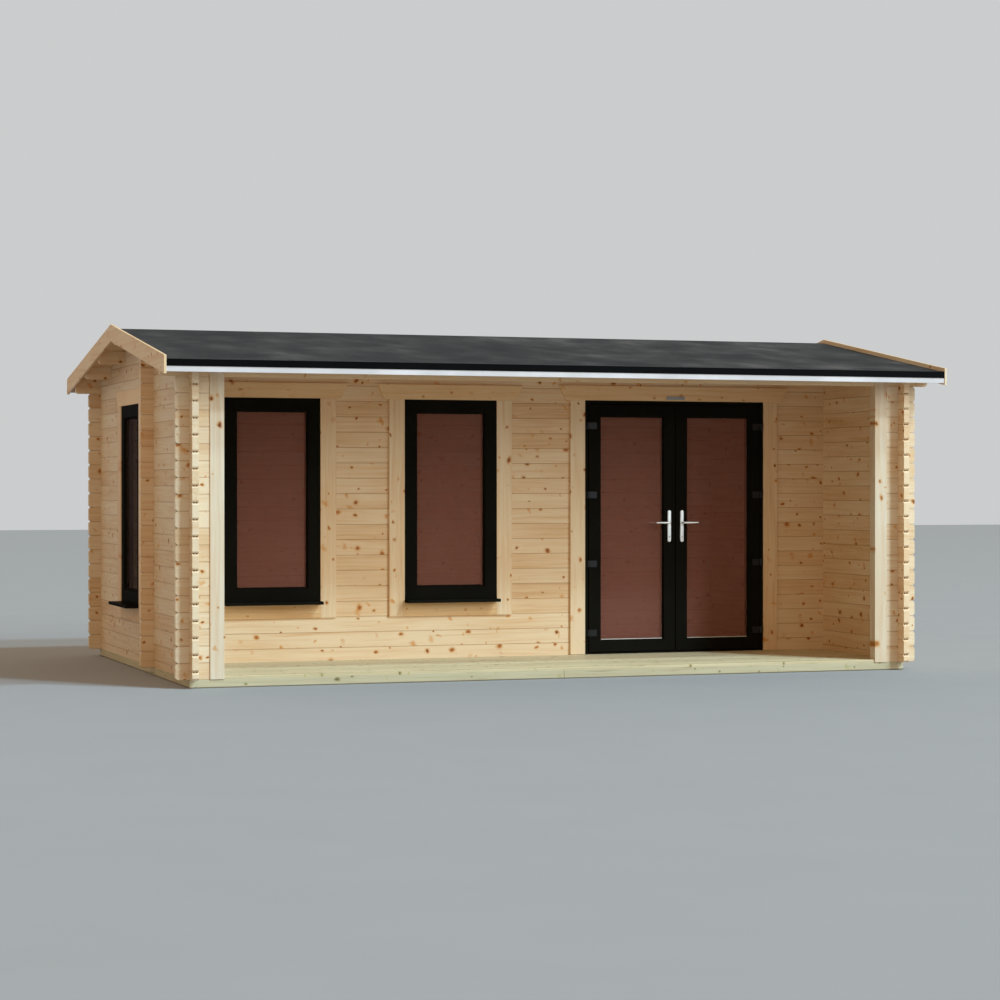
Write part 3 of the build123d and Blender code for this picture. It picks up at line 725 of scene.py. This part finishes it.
def add_lever(bm, start, front_y, tip_x, side, out):
    """Lever swept from a round neck through a bend to a tapered grip with a round tip."""
    axis_x, start_y, axis_z = start
    made = bmesh.ops.create_circle(bm, cap_ends=True, segments=18, radius=LEVER_NECK)
    bmesh.ops.rotate(bm, verts=made["verts"], cent=(0, 0, 0), matrix=FACING_FRONT)
    bmesh.ops.scale(bm, verts=made["verts"], vec=(LEVER_FLAT / LEVER_NECK, 1.0, 1.0))
    bmesh.ops.translate(bm, verts=made["verts"], vec=start)
    loop = list(dict.fromkeys(edge for vert in made["verts"] for edge in vert.link_edges))
    turn_y = front_y - out * (LEVER_FLAT + LEVER_BEND)
    loop = carried(bm, loop, (0, turn_y - start_y, 0))
    turned = bmesh.ops.spin(
        bm,
        geom=loop,
        cent=(axis_x + side * LEVER_BEND, turn_y, axis_z),
        axis=(0, 0, 1),
        angle=-side * out * math.pi / 2,
        steps=7,
        use_duplicate=False,
    )
    loop = [part for part in turned["geom_last"] if isinstance(part, bmesh.types.BMEdge)]
    grip = abs(tip_x - axis_x) - LEVER_BEND - LEVER_TIP
    for length, squeeze in ((grip * 0.35, 1.0), (grip * 0.65, 0.74), (0.004, 0.80), (0.002, 0.55)):
        loop = carried(bm, loop, (side * length, 0, 0), squeeze)
    bmesh.ops.contextual_create(bm, geom=loop)


for name, side in {"left": -1, "right": 1}.items():
    plates = f"{name}_door_handle_plates"
    lever = f"{name}_lever"
    bead = f"{name}_door_bead"
    low, high = node_span(plates)
    lever_low, lever_high = node_span(lever)
    pane_low, pane_high = node_span(f"{name}_door_pane")
    middle_x = (low.x + high.x) / 2
    middle_z = (low.z + high.z) / 2

    # Domed plates on both faces of the leaf
    bm = bmesh.new()
    for face_y, out in ((low.y, -1), (high.y, 1)):
        middle = (middle_x, face_y - out * PLATE_THICK, middle_z)
        add_plate(bm, middle, high.x - low.x, high.z - low.z, out)
    bmesh.ops.recalc_face_normals(bm, faces=bm.faces)
    smooth(bm, 30)
    stand_in(bm, plates, "domed", "chrome")

    # Keyhole in the lower part of each plate, its dark finish painted shade for the hole
    bm = bmesh.new()
    add_keyhole(bm, middle_x, low.y)
    add_keyhole(bm, middle_x, high.y)
    show(bm, f"{name}_keyholes", "keyhole_painted_shade", body_of[plates])

    # Lever on each plate
    lever_z = (lever_low.z + lever_high.z) / 2
    tip_x = lever_low.x if side < 0 else lever_high.x
    bm = bmesh.new()
    for face_y, front_y, out in ((low.y, lever_low.y, -1), (high.y, lever_high.y, 1)):
        start = (middle_x, face_y - out * LEVER_SEAT, lever_z)
        add_lever(bm, start, front_y, tip_x, side, out)
    bmesh.ops.recalc_face_normals(bm, faces=bm.faces)
    smooth(bm, 50)
    stand_in(bm, lever, "swept", "chrome")

    # Pale strip on the lower glazing bead, a painted highlight where light falls on the bead's top
    length = pane_high.x - pane_low.x - 2 * BEAD_FACE
    centre = ((pane_low.x + pane_high.x) / 2, pane_low.y - 0.004, pane_low.z + BEAD_FACE - 0.002)
    bm = bmesh.new()
    bmesh.ops.create_cube(bm, size=1.0)
    bmesh.ops.scale(bm, verts=bm.verts, vec=(length, LIP_SIDE, LIP_SIDE))
    ease(bm, bm.edges[:], FITTING_EDGE, 1)
    bmesh.ops.translate(bm, verts=bm.verts, vec=centre)
    show(bm, f"{name}_bead_lip", "lip_painted_highlight", body_of[bead])

# Plain grey plate on the head trim of the doors
bm = bmesh.new()
bmesh.ops.create_cube(bm, size=1.0)
bmesh.ops.scale(bm, verts=bm.verts, vec=HEAD_PLATE_SIZE)
ease(bm, bm.edges[:], FITTING_EDGE, 2)
bmesh.ops.translate(bm, verts=bm.verts, vec=HEAD_PLATE_MIDDLE)
show(bm, "head_plate", "grey_plate", "cabin")

# Floor, light and camera
bm = bmesh.new()
bmesh.ops.create_grid(bm, x_segments=1, y_segments=1, size=60.0)
floor = bpy.data.objects.new("pale_floor", finish_mesh(bm, "pale_floor"))
bpy.context.scene.collection.objects.link(floor)
ground = Finish("pale_floor")
ground_noise = ground.noise(ground.coordinates()["Object"], 1.5, 4.0)
ground_colour = ground.mix(ground_noise, tint(0.316, 0.319, 0.333), tint(0.339, 0.342, 0.357))
ground.set(Base_Color=ground_colour, Roughness=0.9)
floor.data.materials.append(ground.material)


def toward(turn, height):
    """Way to a lamp, given in degrees round from the front to the right and up."""
    turn, height = math.radians(turn), math.radians(height)
    flat = math.cos(height)
    return Vector((math.sin(turn) * flat, -math.cos(turn) * flat, math.sin(height)))


def set_lamp(name, light, way, distance):
    placed = bpy.data.objects.new(name, light)
    placed.location = way * distance
    placed.rotation_euler = way.to_track_quat("Z", "Y").to_euler()
    bpy.context.scene.collection.objects.link(placed)


def add_sun(name, energy, spread, colour, way):
    light = bpy.data.lights.new(name, "SUN")
    light.energy = energy
    light.angle = math.radians(spread)
    light.color = colour
    set_lamp(name, light, way, 20.0)


add_sun("key_light", 1.47, 5.0, (0.53, 0.81, 1.0), toward(36.0, 40.8))
add_sun("high_key_light", 1.25, 4.0, (0.60, 0.875, 1.0), toward(48.0, 56.0))

softbox = bpy.data.lights.new("tall_softbox", "AREA")
softbox.shape = "RECTANGLE"
softbox.size = 14.0
softbox.size_y = 30.0
softbox.energy = 15300.0
softbox.color = (0.75, 0.93, 1.0)
set_lamp("tall_softbox", softbox, toward(40.0, 22.0), 60.0)

# The world lights the object warmly and shows the camera, metal and glass a plain pale backdrop
world = bpy.data.worlds.new("soft_studio")
world.use_nodes = True
sky = world.node_tree
ambient = sky.nodes["Background"]
ambient.inputs["Color"].default_value = tint(1.0, 0.775, 0.525)
ambient.inputs["Strength"].default_value = 0.61
backdrop = sky.nodes.new("ShaderNodeBackground")
backdrop.inputs["Color"].default_value = tint(0.60, 0.605, 0.61)
path = sky.nodes.new("ShaderNodeLightPath")
seen = sky.nodes.new("ShaderNodeMath")
seen.operation = "ADD"
seen.use_clamp = True
sky.links.new(path.outputs["Is Camera Ray"], seen.inputs[0])
mirrored = sky.nodes.new("ShaderNodeMath")
mirrored.operation = "ADD"
sky.links.new(path.outputs["Is Glossy Ray"], mirrored.inputs[0])
sky.links.new(path.outputs["Is Transmission Ray"], mirrored.inputs[1])
sky.links.new(mirrored.outputs[0], seen.inputs[1])
shown = sky.nodes.new("ShaderNodeMixShader")
sky.links.new(seen.outputs[0], shown.inputs[0])
sky.links.new(ambient.outputs[0], shown.inputs[1])
sky.links.new(backdrop.outputs[0], shown.inputs[2])
sky.links.new(shown.outputs[0], sky.nodes["World Output"].inputs["Surface"])
bpy.context.scene.world = world

lens = bpy.data.cameras.new("photo_view")
lens.sensor_width = 36.0
lens.lens = 89.2
lens.clip_end = 200.0
camera = bpy.data.objects.new("photo_view", lens)
camera.location = (-6.174, -18.226, 1.364)
camera.rotation_euler = (math.radians(89.69), 0.0, math.radians(-19.044))
bpy.context.scene.collection.objects.link(camera)
bpy.context.scene.camera = camera
bpy.context.scene.view_settings.view_transform = "Standard"
